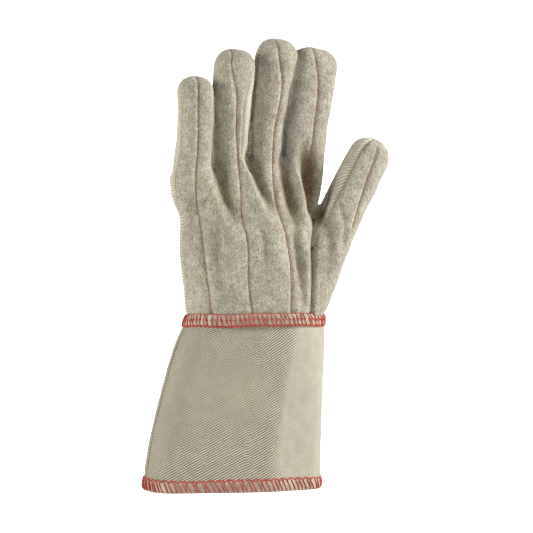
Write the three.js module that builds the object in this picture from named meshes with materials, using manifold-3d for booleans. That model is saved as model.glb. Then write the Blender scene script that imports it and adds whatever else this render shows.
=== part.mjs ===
// Heavy cotton work glove with a gauntlet cuff, for the right hand, standing on its open cuff.
//
// Millimetres, +Z up. The palm faces -Y, the thumb is on the +X side, and the glove stands on Z = 0.
// Every soft part is a loft: closed sections, one above the other, given by a short table with a row for each
// section. The hand is one hollow skin, the joined outer lofts less the joined inner lofts. It is then cut along
// its seams into the pieces that the real glove is sewn from. The seam edges keep a small gap.

import * as THREE from 'three';
import { mergeVertices } from 'three/addons/utils/BufferGeometryUtils.js';
import Module from 'manifold-3d';

const wasm = await Module();
wasm.setup();

// Driving dimensions

const HAND_WALL = 3.2; // double cotton with its nap
const CUFF_WALL = 2.4; // heavy twill, lined
const SEAM_GAP = 0.35; // between pieces that are sewn edge to edge
const HEM_TOP = 9.1; // height of the overlocked lower edge
const WRIST_LOW = 126.3; // overlocked wrist seam, lower edge
const WRIST_HIGH = 135.3; // overlocked wrist seam, upper edge
const SEAM_PROUD = 1.1; // how far the overlocked edges stand out of the cloth
const CUFF_ROUNDNESS = 2.25; // exponent of the cuff's superellipse sections
const BODY_SIDES = 56;
const FINGER_SIDES = 24;
const CAP_ROWS = 4; // sections in a rounded fingertip

// Cuff outline: height, thumb and little finger side, palm side and back side
const CUFF_ROWS = [
  { z: 0, left: -67.6, right: 69.3, front: -43, back: 43 },
  { z: 20, left: -65.4, right: 69.3, front: -42, back: 42 },
  { z: 45, left: -60.5, right: 69.8, front: -41, back: 40.5 },
  { z: 70, left: -55.2, right: 70.6, front: -39.5, back: 38.5 },
  { z: 95, left: -48.2, right: 71.3, front: -37.5, back: 36 },
  { z: 115, left: -42.0, right: 72.5, front: -36, back: 34 },
  { z: 140, left: -33.8, right: 73.5, front: -34, back: 32 },
];

// The hand without its fingers: the same columns
const BODY_ROWS = [
  { z: 135.6, left: -35.0, right: 73.4, front: -33.5, back: 31.5 },
  { z: 146, left: -35.6, right: 72.5, front: -33, back: 30 },
  { z: 162, left: -37.6, right: 70.5, front: -31.5, back: 28 },
  { z: 178, left: -40.2, right: 69, front: -30, back: 26.5 },
  { z: 196, left: -40.6, right: 67, front: -28.5, back: 25 },
  { z: 209, left: -41.8, right: 66, front: -27, back: 24 },
  { z: 219, left: -46, right: 66.5, front: -25, back: 23 },
  { z: 230, left: -48.4, right: 68, front: -21.5, back: 20.5 },
  { z: 240, left: -47.5, right: 69, front: -15.5, back: 15 },
  { z: 248, left: -43, right: 67, front: -9.5, back: 9 },
  { z: 253, left: -34, right: 60, front: -5, back: 4 },
];

// Fingers: centre, half width and half depth of each section, then the height of the tip
const FINGERS = {
  little: {
    tip: 315.4,
    rows: [
      { x: -27, y: -3, z: 206, wide: 11, deep: 14 },
      { x: -31, y: -4, z: 226, wide: 16.4, deep: 18.5 },
      { x: -31, y: -7, z: 248, wide: 16, deep: 16 },
      { x: -31.6, y: -12, z: 275, wide: 14.5, deep: 14.4 },
      { x: -32.6, y: -17, z: 302, wide: 14, deep: 13.6 },
    ],
  },
  ring: {
    tip: 335.8,
    rows: [
      { x: 0, y: -1, z: 206, wide: 11.5, deep: 17 },
      { x: -0.4, y: -2, z: 228, wide: 14.8, deep: 20 },
      { x: -0.8, y: -3.5, z: 252, wide: 14.5, deep: 16 },
      { x: -1.2, y: -7, z: 280, wide: 15.2, deep: 15 },
      { x: -1, y: -11.5, z: 321, wide: 15.8, deep: 14.6 },
    ],
  },
  middle: {
    tip: 344,
    rows: [
      { x: 26, y: 0, z: 206, wide: 11.5, deep: 17 },
      { x: 26.8, y: 0, z: 228, wide: 14.6, deep: 20 },
      { x: 27.8, y: -0.5, z: 252, wide: 14, deep: 16 },
      { x: 28.7, y: -2, z: 275, wide: 14.7, deep: 15.2 },
      { x: 32, y: -3.5, z: 300, wide: 15.2, deep: 15 },
      { x: 34.4, y: -5.5, z: 328, wide: 15.6, deep: 14.8 },
    ],
  },
  index: {
    tip: 337.6,
    rows: [
      { x: 51, y: 1, z: 206, wide: 10, deep: 15 },
      { x: 54.5, y: 2, z: 228, wide: 14.2, deep: 17.5 },
      { x: 57.4, y: 2.5, z: 252, wide: 14.4, deep: 15.5 },
      { x: 59.3, y: 2.5, z: 275, wide: 14.9, deep: 15 },
      { x: 62.6, y: 2, z: 298, wide: 14.7, deep: 15 },
      { x: 65.5, y: 0.5, z: 322, wide: 15.6, deep: 14.8 },
    ],
  },
};

// Thumb: the same columns, along a path that leans out of the side of the palm; tip counts past the last row
const THUMB_ROWS = [
  { x: 54, y: -2, z: 138, wide: 19, deep: 25 },
  { x: 62, y: -3, z: 162, wide: 19.5, deep: 22.5 },
  { x: 71, y: -4.5, z: 186, wide: 18.6, deep: 19.5 },
  { x: 82.5, y: -6, z: 208, wide: 17.6, deep: 17 },
  { x: 93.5, y: -7.5, z: 230, wide: 16.8, deep: 16 },
  { x: 103.6, y: -8.5, z: 250, wide: 16.4, deep: 15.4 },
];
const THUMB_TIP = 17;

// Dents in the hand's outer face: the line from (x0, z0) to (x1, z1), which side it is on, its depth and half width
const HAND_FOLDS = [
  { x0: -13, z0: 244, x1: -4, z1: 208, side: 'front', deep: 3.5, wide: 6 },
  { x0: 14, z0: 250, x1: 20, z1: 216, side: 'front', deep: 3, wide: 6 },
  { x0: 42, z0: 246, x1: 46, z1: 200, side: 'front', deep: 4, wide: 6 },
  { x0: 60, z0: 236, x1: 58, z1: 208, side: 'front', deep: 6, wide: 8 },
  { x0: 58, z0: 200, x1: 58, z1: 140, side: 'front', deep: 3, wide: 5 },
  { x0: 46, z0: 188, x1: 54, z1: 146, side: 'front', deep: 1.5, wide: 6 },
  { x0: 42, z0: 250, x1: 40, z1: 214, side: 'back', deep: 3, wide: 6 },
  { x0: 13, z0: 250, x1: 0, z1: 214, side: 'back', deep: 3.5, wide: 6 },
  { x0: -13, z0: 244, x1: -30, z1: 206, side: 'back', deep: 3.5, wide: 6 },
  { x0: 30, z0: 232, x1: 14, z1: 200, side: 'back', deep: 2, wide: 6 },
];

// The same columns for the cuff: the soft upright crease to the thumb side of its middle
const CUFF_FOLDS = [
  { x0: 34, z0: 122, x1: 20, z1: 16, side: 'front', deep: 1.6, wide: 7 },
];

// Seam lines
const STRIP_SEAM_X = 40; // at the wrist, between the back's twill and the strip under the index finger
const BACK_SEAM_X = -2; // at the wrist, between the two twill pieces of the back
const SEAMS_TURN = 210; // the back's seams run upright to here, then lean to the gap between two fingers
const CROTCHES = 252; // height at which the fingers part
// The thumb's seam as an outline of x and z, on the palm face and on the back face
const THUMB_SEAM = [
  { z: 120, front: 58, back: 73 },
  { z: 160, front: 58, back: 73.5 },
  { z: 190, front: 59, back: 70 },
  { z: 206, front: 64, back: 67 },
  { z: 222, front: 71.5, back: 71.5 },
  { z: 240, front: 77, back: 77 },
  { z: 275, front: 88, back: 88 },
  { z: 300, front: 100, back: 100 },
];

const THUMB_SEAM_FRONT_Y = -14; // the seam crosses from its palm line to its back line between these
const THUMB_SEAM_BACK_Y = 12;

// Helpers for tables

// Value of a column between two rows of a table, at a place given by another column
function between(rows, key, at, column) {
  const first = rows[0];
  if (at <= first[key]) return first[column];
  for (let i = 1; i < rows.length; i++) {
    const low = rows[i - 1];
    const high = rows[i];
    if (at > high[key]) continue;
    const share = (at - low[key]) / (high[key] - low[key]);
    return low[column] + share * (high[column] - low[column]);
  }
  return rows[rows.length - 1][column];
}

// A table of upright sections between two heights, with a row at each height and all rows that lie between
function rowsBetween(rows, low, high, columns) {
  const row = (z) => Object.fromEntries([['z', z], ...columns.map((c) => [c, between(rows, 'z', z, c)])]);
  const inside = rows.filter((r) => r.z > low + 1 && r.z < high - 1);
  return [row(low), ...inside, row(high)];
}

// Closed solid through rings of points, each ring with the same number of points, both ends filled by a fan
function loft(rings) {
  const sides = rings[0].length;
  const points = rings.flat();
  const index = [];
  for (let r = 0; r + 1 < rings.length; r++) {
    for (let i = 0; i < sides; i++) {
      const a = r * sides + i;
      const b = r * sides + ((i + 1) % sides);
      index.push(a, b, b + sides, a, b + sides, a + sides);
    }
  }
  for (const [ring, turn] of [[0, 1], [rings.length - 1, 0]]) {
    const centre = new THREE.Vector3();
    rings[ring].forEach((p) => centre.add(p));
    points.push(centre.divideScalar(sides));
    for (let i = 0; i < sides; i++) {
      const a = ring * sides + i;
      const b = ring * sides + ((i + 1) % sides);
      index.push(...(turn ? [points.length - 1, b, a] : [points.length - 1, a, b]));
    }
  }
  const geometry = new THREE.BufferGeometry();
  geometry.setAttribute('position', new THREE.Float32BufferAttribute(points.flatMap((p) => [p.x, p.y, p.z]), 3));
  geometry.setIndex(index);
  return geometry;
}

function solid(geometry) {
  const bare = geometry.clone();
  bare.deleteAttribute('normal');
  bare.deleteAttribute('uv');
  const merged = mergeVertices(bare, 1e-4);
  return new wasm.Manifold(new wasm.Mesh({
    numProp: 3,
    vertProperties: new Float32Array(merged.getAttribute('position').array),
    triVerts: new Uint32Array(merged.getIndex().array),
  }));
}

function signedPower(value, power) {
  return Math.sign(value) * Math.abs(value) ** power;
}

// Sections

// How deep the folds of a table dent the point x, z on one side, in mm
function dent(folds, side, x, z) {
  let deepest = 0;
  for (const fold of folds) {
    if (fold.side !== side) continue;
    const along = new THREE.Vector2(fold.x1 - fold.x0, fold.z1 - fold.z0);
    const from = new THREE.Vector2(x - fold.x0, z - fold.z0);
    const share = THREE.MathUtils.clamp(from.dot(along) / along.lengthSq(), 0, 1);
    const away = from.sub(along.multiplyScalar(share)).length() / fold.wide;
    deepest += fold.deep * Math.exp(-away * away);
  }
  return deepest;
}

// Level ring with its own left, right, front and back reach, drawn in by inset and dented by the folds
function levelRing(row, inset, sides, roundness, folds) {
  const centreX = (row.left + row.right) / 2;
  const halfWide = (row.right - row.left) / 2 - inset;
  const ring = [];
  for (let i = 0; i < sides; i++) {
    const angle = (2 * Math.PI * i) / sides;
    const across = signedPower(Math.cos(angle), 2 / roundness);
    const deep = signedPower(Math.sin(angle), 2 / roundness);
    const side = deep < 0 ? 'front' : 'back';
    const reach = Math.abs(row[side]) - inset;
    const x = centreX + halfWide * across;
    const y = (reach - dent(folds, side, x, row.z) * Math.abs(deep)) * deep;
    ring.push(new THREE.Vector3(x, y, row.z));
  }
  return ring;
}

// Ring of a finger, square to the direction that its axis runs
function fingerRing(centre, lean, wide, deep, sides) {
  const across = new THREE.Vector3(lean.z, 0, -lean.x).normalize();
  const back = new THREE.Vector3().crossVectors(lean, across).normalize();
  const ring = [];
  for (let i = 0; i < sides; i++) {
    const angle = (2 * Math.PI * i) / sides;
    const a = wide * signedPower(Math.cos(angle), 2 / 2.2);
    const b = deep * signedPower(Math.sin(angle), 2 / 2.2);
    ring.push(centre.clone().addScaledVector(across, a).addScaledVector(back, b));
  }
  return ring;
}

// Finger or thumb drawn in by inset: a loft along its rows, ending in a rounded tip of the given length
function fingerLoft(rows, tipLength, inset, sides) {
  const centres = rows.map((r) => new THREE.Vector3(r.x, r.y, r.z));
  const leans = centres.map((c, i) => {
    const before = centres[Math.max(i - 1, 0)];
    const after = centres[Math.min(i + 1, centres.length - 1)];
    return after.clone().sub(before).normalize();
  });
  const rings = rows.map((r, i) => fingerRing(centres[i], leans[i], r.wide - inset, r.deep - inset, sides));
  const end = rows[rows.length - 1];
  const lean = leans[leans.length - 1];
  for (let i = 1; i <= CAP_ROWS; i++) {
    const angle = (Math.PI / 2) * (i / (CAP_ROWS + 0.35));
    const centre = centres[centres.length - 1].clone();
    centre.addScaledVector(lean, (tipLength - inset) * Math.sin(angle));
    const shrink = Math.cos(angle) ** 0.9;
    rings.push(fingerRing(centre, lean, (end.wide - inset) * shrink, (end.deep - inset) * shrink, sides));
  }
  return loft(rings);
}

// Ring-shaped wall between an outer and an inner loft of the same table
function hoop(rows, proud, wall, folds) {
  const outer = loft(rows.map((r) => levelRing(r, -proud, BODY_SIDES, CUFF_ROUNDNESS, folds)));
  const inner = rows.map((r) => ({ ...r }));
  inner[0].z -= 1;
  inner[inner.length - 1].z += 1;
  return solid(outer).subtract(solid(loft(inner.map((r) => levelRing(r, wall, BODY_SIDES, CUFF_ROUNDNESS, [])))));
}

// The hand's skin

function handLoft(inset, bodySides, fingerSides) {
  const folds = inset ? [] : HAND_FOLDS;
  const bodyRows = BODY_ROWS.map((r, i) => ({ ...r, z: i === 0 ? r.z - inset : r.z - (r.z > 236 ? inset : 0) }));
  let whole = solid(loft(bodyRows.map((r) => levelRing(r, inset, bodySides, 2.3, folds))));
  for (const finger of Object.values(FINGERS)) {
    const tipLength = finger.tip - finger.rows[finger.rows.length - 1].z;
    whole = whole.add(solid(fingerLoft(finger.rows, tipLength, inset, fingerSides)));
  }
  return whole.add(solid(fingerLoft(THUMB_ROWS, THUMB_TIP, inset, fingerSides)));
}

// Slab of space below the hand, which trims the thumb's root level with the wrist
function belowWrist() {
  const slab = new THREE.BoxGeometry(400, 400, 100);
  slab.translate(0, 0, WRIST_HIGH + SEAM_GAP - 50);
  return solid(slab);
}

const FAR = 90; // past every face of the glove

// Solid behind a curtain: everything with y above the given height field, between two x limits for each level
function behind(levels, frontY, leftX, rightX, columns) {
  const rings = levels.map((z) => {
    const left = leftX(z);
    const right = rightX(z);
    const face = [];
    for (let i = 0; i <= columns; i++) {
      const x = left + ((right - left) * i) / columns;
      face.push(new THREE.Vector3(x, frontY(x, z), z));
    }
    return [...face, new THREE.Vector3(right, FAR, z), new THREE.Vector3(left, FAR, z)];
  });
  return solid(loft(rings));
}

// Depth of the side seams: the middle of each finger, with straight runs between fingers
function sideSeamY(x, z) {
  const stops = Object.values(FINGERS).map((finger) => ({
    x: between(finger.rows, 'z', z, 'x'),
    y: between(finger.rows, 'z', z, 'y'),
  }));
  return between(stops, 'x', x, 'y');
}

const SEAM_LEVELS = [110, 140, 170, 200, 216, 233, 250, 262, 280, 300, 322, 360];
const half = SEAM_GAP / 2;

// Middle of the gap between two fingers that stand side by side
function gapX(left, right, z) {
  const leftFace = between(left.rows, 'z', z, 'x') + between(left.rows, 'z', z, 'wide');
  const rightFace = between(right.rows, 'z', z, 'x') - between(right.rows, 'z', z, 'wide');
  return (leftFace + rightFace) / 2;
}

// Back seam that ends in the gap between two fingers
function backSeamX(wristX, left, right, z) {
  const share = THREE.MathUtils.smoothstep(z, SEAMS_TURN, CROTCHES);
  return wristX + share * (gapX(left, right, z) - wristX);
}

function backRegion(grow) {
  const frontY = (x, z) => sideSeamY(x, z) - grow;
  const rightX = (z) => backSeamX(STRIP_SEAM_X, FINGERS.middle, FINGERS.index, z) + grow;
  return behind(SEAM_LEVELS, frontY, () => -FAR, rightX, 12);
}

function outerBackRegion(grow) {
  const rightX = (z) => backSeamX(BACK_SEAM_X, FINGERS.ring, FINGERS.middle, z) + grow;
  return behind(SEAM_LEVELS, () => -FAR, () => -FAR, rightX, 2);
}

// Everything to the thumb side of the thumb's seam
function thumbRegion(grow) {
  const rings = THUMB_SEAM.map((r) => [
    new THREE.Vector3(r.front - grow, -FAR, r.z),
    new THREE.Vector3(2 * FAR, -FAR, r.z),
    new THREE.Vector3(2 * FAR, FAR, r.z),
    new THREE.Vector3(r.back - grow, FAR, r.z),
    new THREE.Vector3(r.back - grow, THUMB_SEAM_BACK_Y, r.z),
    new THREE.Vector3(r.front - grow, THUMB_SEAM_FRONT_Y, r.z),
  ]);
  return solid(loft(rings));
}

const skin = handLoft(0, BODY_SIDES, FINGER_SIDES)
  .subtract(handLoft(HAND_WALL, 32, 14))
  .subtract(belowWrist());
const thumb = skin.intersect(thumbRegion(-half));
const hand = skin.subtract(thumbRegion(half));
const back = hand.intersect(backRegion(-half));
const palm = hand.subtract(backRegion(half));
const backOuter = back.intersect(outerBackRegion(-half));
const backInner = back.subtract(outerBackRegion(half));

// The cuff and its overlocked edges

const COLUMNS = ['left', 'right', 'front', 'back'];
const cuffBody = hoop(
  rowsBetween(CUFF_ROWS, HEM_TOP + SEAM_GAP, WRIST_LOW - SEAM_GAP, COLUMNS), 0, CUFF_WALL, CUFF_FOLDS);
const cuffHem = hoop(rowsBetween(CUFF_ROWS, 0, HEM_TOP, COLUMNS), SEAM_PROUD, CUFF_WALL, []);
const wristSeam = hoop(rowsBetween(CUFF_ROWS, WRIST_LOW, WRIST_HIGH, COLUMNS), SEAM_PROUD, HAND_WALL, []);

// Scene

const FLANNEL = new THREE.MeshStandardMaterial({ color: 0xbdb6a4, roughness: 1, metalness: 0 });
const TWILL = new THREE.MeshStandardMaterial({ color: 0xcfc5ae, roughness: 0.95, metalness: 0 });
const SEAM = new THREE.MeshStandardMaterial({ color: 0xd6c3ae, roughness: 0.95, metalness: 0 });

function mesh(name, body, material) {
  const { vertProperties, triVerts } = body.getMesh();
  const geometry = new THREE.BufferGeometry();
  geometry.setAttribute('position', new THREE.BufferAttribute(vertProperties, 3));
  geometry.setIndex(new THREE.BufferAttribute(triVerts, 1));
  const part = new THREE.Mesh(geometry, material);
  part.name = name;
  return part;
}

const group = new THREE.Group();
group.add(
  mesh('palm_panel', palm, FLANNEL),
  mesh('thumb', thumb, FLANNEL),
  mesh('back_panel_outer', backOuter, TWILL),
  mesh('back_panel_inner', backInner, TWILL),
  mesh('wrist_seam', wristSeam, SEAM),
  mesh('cuff', cuffBody, TWILL),
  mesh('cuff_hem', cuffHem, SEAM),
);

// The origin is on the floor under the middle of the glove's box
const box = new THREE.Box3().setFromObject(group);
group.position.x = -(box.min.x + box.max.x) / 2;

export default group;
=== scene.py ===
# %% [markdown]
# # A heavy cotton work glove
#
# This lesson dresses a plain, measured model of a hot mill glove. The real glove is sewn from napped
# flannel on the palm and coarse twill on the back, quilted with red thread, and closed by a stiff twill
# gauntlet. The measured model is loaded first and never changed: it says where everything goes. Each soft
# piece is then made again as a fine surface, with numpy, and takes the place of its plain solid.

# %% Load the measured model
import math

import bpy
import numpy as np
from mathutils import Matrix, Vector
from mathutils.bvhtree import BVHTree


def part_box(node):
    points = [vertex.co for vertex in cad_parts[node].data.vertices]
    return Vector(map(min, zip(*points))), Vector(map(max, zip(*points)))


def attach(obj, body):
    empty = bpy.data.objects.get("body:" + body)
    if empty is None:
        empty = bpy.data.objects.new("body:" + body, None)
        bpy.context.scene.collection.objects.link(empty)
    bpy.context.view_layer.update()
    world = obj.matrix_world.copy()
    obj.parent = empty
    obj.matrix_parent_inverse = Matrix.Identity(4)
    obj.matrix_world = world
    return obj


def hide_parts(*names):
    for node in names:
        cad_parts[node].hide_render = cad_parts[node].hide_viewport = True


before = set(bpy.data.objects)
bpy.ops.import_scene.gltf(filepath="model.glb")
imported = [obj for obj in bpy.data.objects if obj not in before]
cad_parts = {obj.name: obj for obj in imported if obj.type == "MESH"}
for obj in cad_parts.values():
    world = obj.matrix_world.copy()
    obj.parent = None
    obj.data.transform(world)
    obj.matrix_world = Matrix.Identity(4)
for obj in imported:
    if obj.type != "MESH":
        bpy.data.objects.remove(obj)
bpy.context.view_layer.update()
print("measured nodes:", ", ".join(sorted(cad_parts)))

# %% [markdown]
# ## Units and tables
#
# A glove maker thinks in millimetres from the middle of the cuff, so every size below is in millimetres on
# that pattern. One shift, read from the hem of the measured model, carries the pattern to its place, and
# one factor turns it into Blender's metres. Shapes are given by short tables with named columns, a row for
# each section, and a smooth curve through the rows gives as many sections as the surface needs.

# %% Pattern units, tables and smooth curves
MM = 0.001
HEM_MIDDLE = 0.85  # where the hem's middle lies on the pattern
hem_low, hem_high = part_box("cuff_hem")
SHIFT = np.array([(hem_low[0] + hem_high[0]) / 2 / MM - HEM_MIDDLE, 0.0, 0.0])


def table(columns, *rows):
    """Named columns of a table that is written row by row."""
    return dict(zip(columns.split(), np.array(rows, float).T))


def through(knots, values, at):
    """Smooth curve through the values: between two knots a cubic, whose slope at each knot is that of its
    neighbours. Past the ends it stays at the last value."""
    slopes = np.gradient(values, knots)
    i = np.clip(np.searchsorted(knots, at) - 1, 0, len(knots) - 2)
    span = knots[i + 1] - knots[i]
    t = np.clip((at - knots[i]) / span, 0, 1)
    start, end = values[i], values[i + 1]
    return (
        start * (1 + 2 * t) * (1 - t) ** 2
        + end * t * t * (3 - 2 * t)
        + slopes[i] * span * t * (1 - t) ** 2
        + slopes[i + 1] * span * t * t * (t - 1)
    )


def value_at(rows, name, at):
    """One column of a table at any height, on the smooth curve through its rows."""
    return through(rows["z"], rows[name], at)


def ease(value, low, high):
    """0 below low, 1 above high, and a soft step between them."""
    t = np.clip((value - low) / (high - low), 0, 1)
    return t * t * (3 - 2 * t)


def signed_power(value, power):
    return np.sign(value) * np.abs(value) ** power


print("pattern shift in mm:", SHIFT.round(2))

# %% [markdown]
# ## The shape of the hand
#
# A glove on a hand form is a rounded box with five padded tubes growing out of it. Each tube is a surface
# of two numbers: how far along the finger, and how far round it. A section is a superellipse, a circle with
# slightly square shoulders, because the two layers of cloth meet in a seam at each side. The tips close
# with the same curve.

# %% Tables of the cuff, the palm, the fingers and the thumb
CUFF = table(
    "z left right front back",
    (0, -69.6, 66.8, 43, 43),
    (20, -67.8, 67.3, 42, 42),
    (45, -63.0, 68.0, 41, 40.5),
    (70, -56.8, 68.8, 39.5, 38.5),
    (95, -49.8, 69.6, 37.5, 36),
    (115, -43.2, 70.6, 35.2, 33.4),
    (128, -37.2, 70.6, 33.0, 31.2),
    (140, -33.6, 70.6, 31, 29.4),
)
PALM = table(
    "z left right front back",
    (124, -35.4, 71.2, 33.5, 31.5),
    (135.6, -36.4, 70.6, 33.5, 31.5),
    (146, -37.6, 70.0, 33, 30),
    (162, -39.8, 69.5, 31.5, 28),
    (178, -41.6, 68.5, 30, 26.5),
    (196, -41.6, 67, 28.5, 25),
    (209, -42.0, 66, 27, 24),
    (219, -45, 66, 25, 23),
    (230, -48.8, 67, 22, 21),
    (240, -48, 67, 17.5, 17),
    (246, -38, 65, 13.5, 13),
    (251, -22, 61, 10, 9.5),
    (255, -8, 56, 6, 5),
)
FINGERS = {
    "little": table(
        "x y z wide deep",
        (-28, -3, 206, 12, 14),
        (-32, -4, 226, 17, 18.5),
        (-33, -7, 247, 15.2, 16),
        (-32.7, -10, 262, 13.4, 14.8),
        (-32.6, -13, 278, 13.2, 14.2),
        (-33.7, -17, 298.8, 13.3, 13.6),
    ),
    "ring": table(
        "x y z wide deep",
        (-1, -1, 206, 11.5, 17),
        (-3, -2, 228, 14, 20),
        (-4.3, -4, 250, 13.4, 16.4),
        (-4.3, -6, 264, 13.5, 15.4),
        (-4.2, -8, 280, 14.2, 15),
        (-3.4, -10.5, 304, 15.3, 14.8),
        (-2.3, -12.4, 319.6, 15.5, 14.6),
    ),
    "middle": table(
        "x y z wide deep",
        (23.5, 0, 206, 11.5, 17),
        (22.8, 0.4, 228, 14, 20),
        (23.4, 0.2, 250, 13.2, 16.4),
        (24, -0.5, 264, 13.3, 15.5),
        (24.9, -1.5, 280, 13.9, 15.2),
        (28.2, -3, 302, 15.2, 15),
        (31.8, -5, 328, 16.2, 14.8),
    ),
    "index": table(
        "x y z wide deep",
        (50, 1, 206, 10, 15),
        (51.6, 2.5, 228, 15.4, 17),
        (54, 2.6, 252, 16.3, 15.5),
        (55.7, 2.2, 275, 17.4, 15),
        (59.2, 1, 298, 17.1, 15),
        (63, -0.4, 323.2, 17.8, 14.8),
    ),
    "thumb": table(
        "x y z wide deep",
        (53.6, -2, 134, 16.5, 25),
        (62.6, -3, 162, 18.6, 22.5),
        (72, -4.5, 186, 18.4, 19.5),
        (82, -6, 208, 17.2, 17),
        (93, -7.5, 230, 16.6, 16),
        (104.4, -8.6, 252.2, 16.4, 15.4),
    ),
}
TIP_LENGTH = {"little": 14.2, "ring": 15.4, "middle": 16.6, "index": 16.0, "thumb": 17.0}
HAND_ROUNDNESS = 2.3  # 2 is an ellipse, and more is squarer
FINGER_ROUNDNESS = {"little": 2.25, "ring": 2.25, "middle": 2.25, "index": 3.4, "thumb": 2.25}
TIP_ROUNDNESS = 2.35
INDEX_ROLL = math.radians(14)  # the flat front of the index finger looks a little to the thumb side
PALM_POINTS, FINGER_POINTS = 128, 64  # round a section
PALM_ROWS = 90


# %% Surfaces of a palm section and of a finger
def on_section(rows, z, angle, roundness=HAND_ROUNDNESS, proud=0.0):
    """Points on a level section: x is the middle plus half the width times cos, y is the reach of that side
    times sin, both bent to a superellipse. A positive proud lies outside it."""
    left, right, front, back = (value_at(rows, c, z) for c in ("left", "right", "front", "back"))
    across = signed_power(np.cos(angle), 2 / roundness)
    deep = signed_power(np.sin(angle), 2 / roundness)
    x = (left + right) / 2 + ((right - left) / 2 + proud) * across
    y = (np.where(deep < 0, front, back) + proud) * deep
    return np.stack(np.broadcast_arrays(x, y, z), axis=-1)


def finger_sections(rows, tip, roundness, roll, steps=60, cap=16):
    """Rings along the finger's own line, square to it. Past the last row the ring shrinks to a blunt round
    tip: its size is (1 - s^p)^(1/p) where s runs from 0 to 1 over the tip."""
    along = np.linspace(rows["z"][0], rows["z"][-1], steps)
    line = np.stack([value_at(rows, c, along) for c in ("x", "y")] + [along], axis=-1)
    lean = np.gradient(line, axis=0)
    lean /= np.linalg.norm(lean, axis=1, keepdims=True)
    wide, deep = value_at(rows, "wide", along), value_at(rows, "deep", along)
    s = np.sin(np.linspace(0, np.pi / 2, cap + 1)[1:]) * 0.999
    shrink = (1 - s**TIP_ROUNDNESS) ** (1 / TIP_ROUNDNESS)
    line = np.concatenate([line, line[-1] + lean[-1] * (tip * s)[:, None]])
    lean = np.concatenate([lean, np.repeat(lean[-1:], cap, axis=0)])
    wide = np.concatenate([wide, wide[-1] * shrink])
    deep = np.concatenate([deep, deep[-1] * shrink])
    across = np.stack([lean[:, 2], 0 * lean[:, 2], -lean[:, 0]], axis=-1)
    across /= np.linalg.norm(across, axis=1, keepdims=True)
    back = np.cross(lean, across)
    cosine, sine = math.cos(roll), math.sin(roll)
    across, back = across * cosine + back * sine, back * cosine - across * sine
    angle = np.linspace(0, 2 * np.pi, FINGER_POINTS, endpoint=False)[None, :, None]
    a = wide[:, None, None] * signed_power(np.cos(angle), 2 / roundness)
    b = deep[:, None, None] * signed_power(np.sin(angle), 2 / roundness)
    return line[:, None] + a * across[:, None] + b * back[:, None]


def closed_tube(rings):
    """Points and faces of a grid of rings, with both ends closed by one many-sided face."""
    count, around = rings.shape[:2]
    r, i = np.meshgrid(np.arange(count - 1), np.arange(around), indexing="ij")
    a, b = r * around + i, r * around + (i + 1) % around
    quads = np.stack([a, b, b + around, a + around], axis=-1).reshape(-1, 4)
    ends = [list(range(around))[::-1], list(range((count - 1) * around, count * around))]
    return rings.reshape(-1, 3), quads.tolist() + ends


def joined(parts):
    """One list of points and one of faces from several."""
    points, faces, start = [], [], 0
    for p, f in parts:
        points.append(p)
        faces += [[i + start for i in face] for face in f]
        start += len(p)
    return np.concatenate(points), faces


def in_scene(name, data):
    obj = bpy.data.objects.new(name, data)
    bpy.context.scene.collection.objects.link(obj)
    return obj


def mesh_of(name, points, faces, sharp=None, weave=None, **marks):
    """Smooth mesh object in metres from points in pattern millimetres. sharp marks the faces that stay
    flat, weave gives each point or each face corner its place on the flat cloth, in millimetres, as a UV
    map. marks are numbers from 0 to 1 at each point that the materials read, such as how deep in a fold it
    lies."""
    mesh = bpy.data.meshes.new(name)
    mesh.from_pydata(((points + SHIFT) * MM).tolist(), [], faces)
    flat = np.zeros(len(mesh.polygons), bool) if sharp is None else sharp
    mesh.attributes.new("sharp_face", "BOOLEAN", "FACE").data.foreach_set("value", flat)
    if weave is not None:
        corners = np.empty(len(mesh.loops), int)
        mesh.loops.foreach_get("vertex_index", corners)
        place = weave if len(weave) == len(corners) else weave[corners]
        mesh.uv_layers.new(name="weave").data.foreach_set("uv", (place * MM).ravel())
    for label, value in marks.items():
        mesh.attributes.new(label, "FLOAT", "POINT").data.foreach_set("value", np.ravel(value))
    mesh.update()
    return in_scene(name, mesh)


# %% [markdown]
# ## One skin
#
# The tubes and the palm overlap, so they are joined: a voxel remesh wraps one even skin round them all, and
# a smooth pass turns the sharp joints between them into the soft hollows of thick cloth. After that the
# skin is only points and triangles, and every fold and seam is pressed into it by formula.

# %% Join the lofts into one skin
VOXEL = 1.08  # mm between the skin's points
SOFTENING = 7  # passes of smoothing


def joined_skin():
    """Points in mm and triangles of the joined and softened lofts."""
    heights = np.linspace(PALM["z"][0], PALM["z"][-1], PALM_ROWS)[:, None]
    turn = np.linspace(0, 2 * np.pi, PALM_POINTS, endpoint=False)[None, :]
    lofts = [on_section(PALM, heights, turn)]
    for name, rows in FINGERS.items():
        roll = INDEX_ROLL if name == "index" else 0.0
        lofts.append(finger_sections(rows, TIP_LENGTH[name], FINGER_ROUNDNESS[name], roll))
    rough = mesh_of("rough_hand", *joined([closed_tube(rings) for rings in lofts]))
    remesh = rough.modifiers.new("wrap", "REMESH")
    remesh.mode = "VOXEL"
    remesh.voxel_size = VOXEL * MM
    soft = rough.modifiers.new("soften", "SMOOTH")
    soft.factor = 0.5
    soft.iterations = SOFTENING
    triangles = rough.modifiers.new("triangles", "TRIANGULATE")
    triangles.quad_method = "BEAUTY"
    wrapped = rough.evaluated_get(bpy.context.evaluated_depsgraph_get()).to_mesh()
    xyz = np.empty(len(wrapped.vertices) * 3)
    wrapped.vertices.foreach_get("co", xyz)
    corners = np.empty(len(wrapped.loops), int)
    wrapped.loops.foreach_get("vertex_index", corners)
    bpy.data.objects.remove(rough)
    return xyz.reshape(-1, 3) / MM - SHIFT, corners.reshape(-1, 3)


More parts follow.
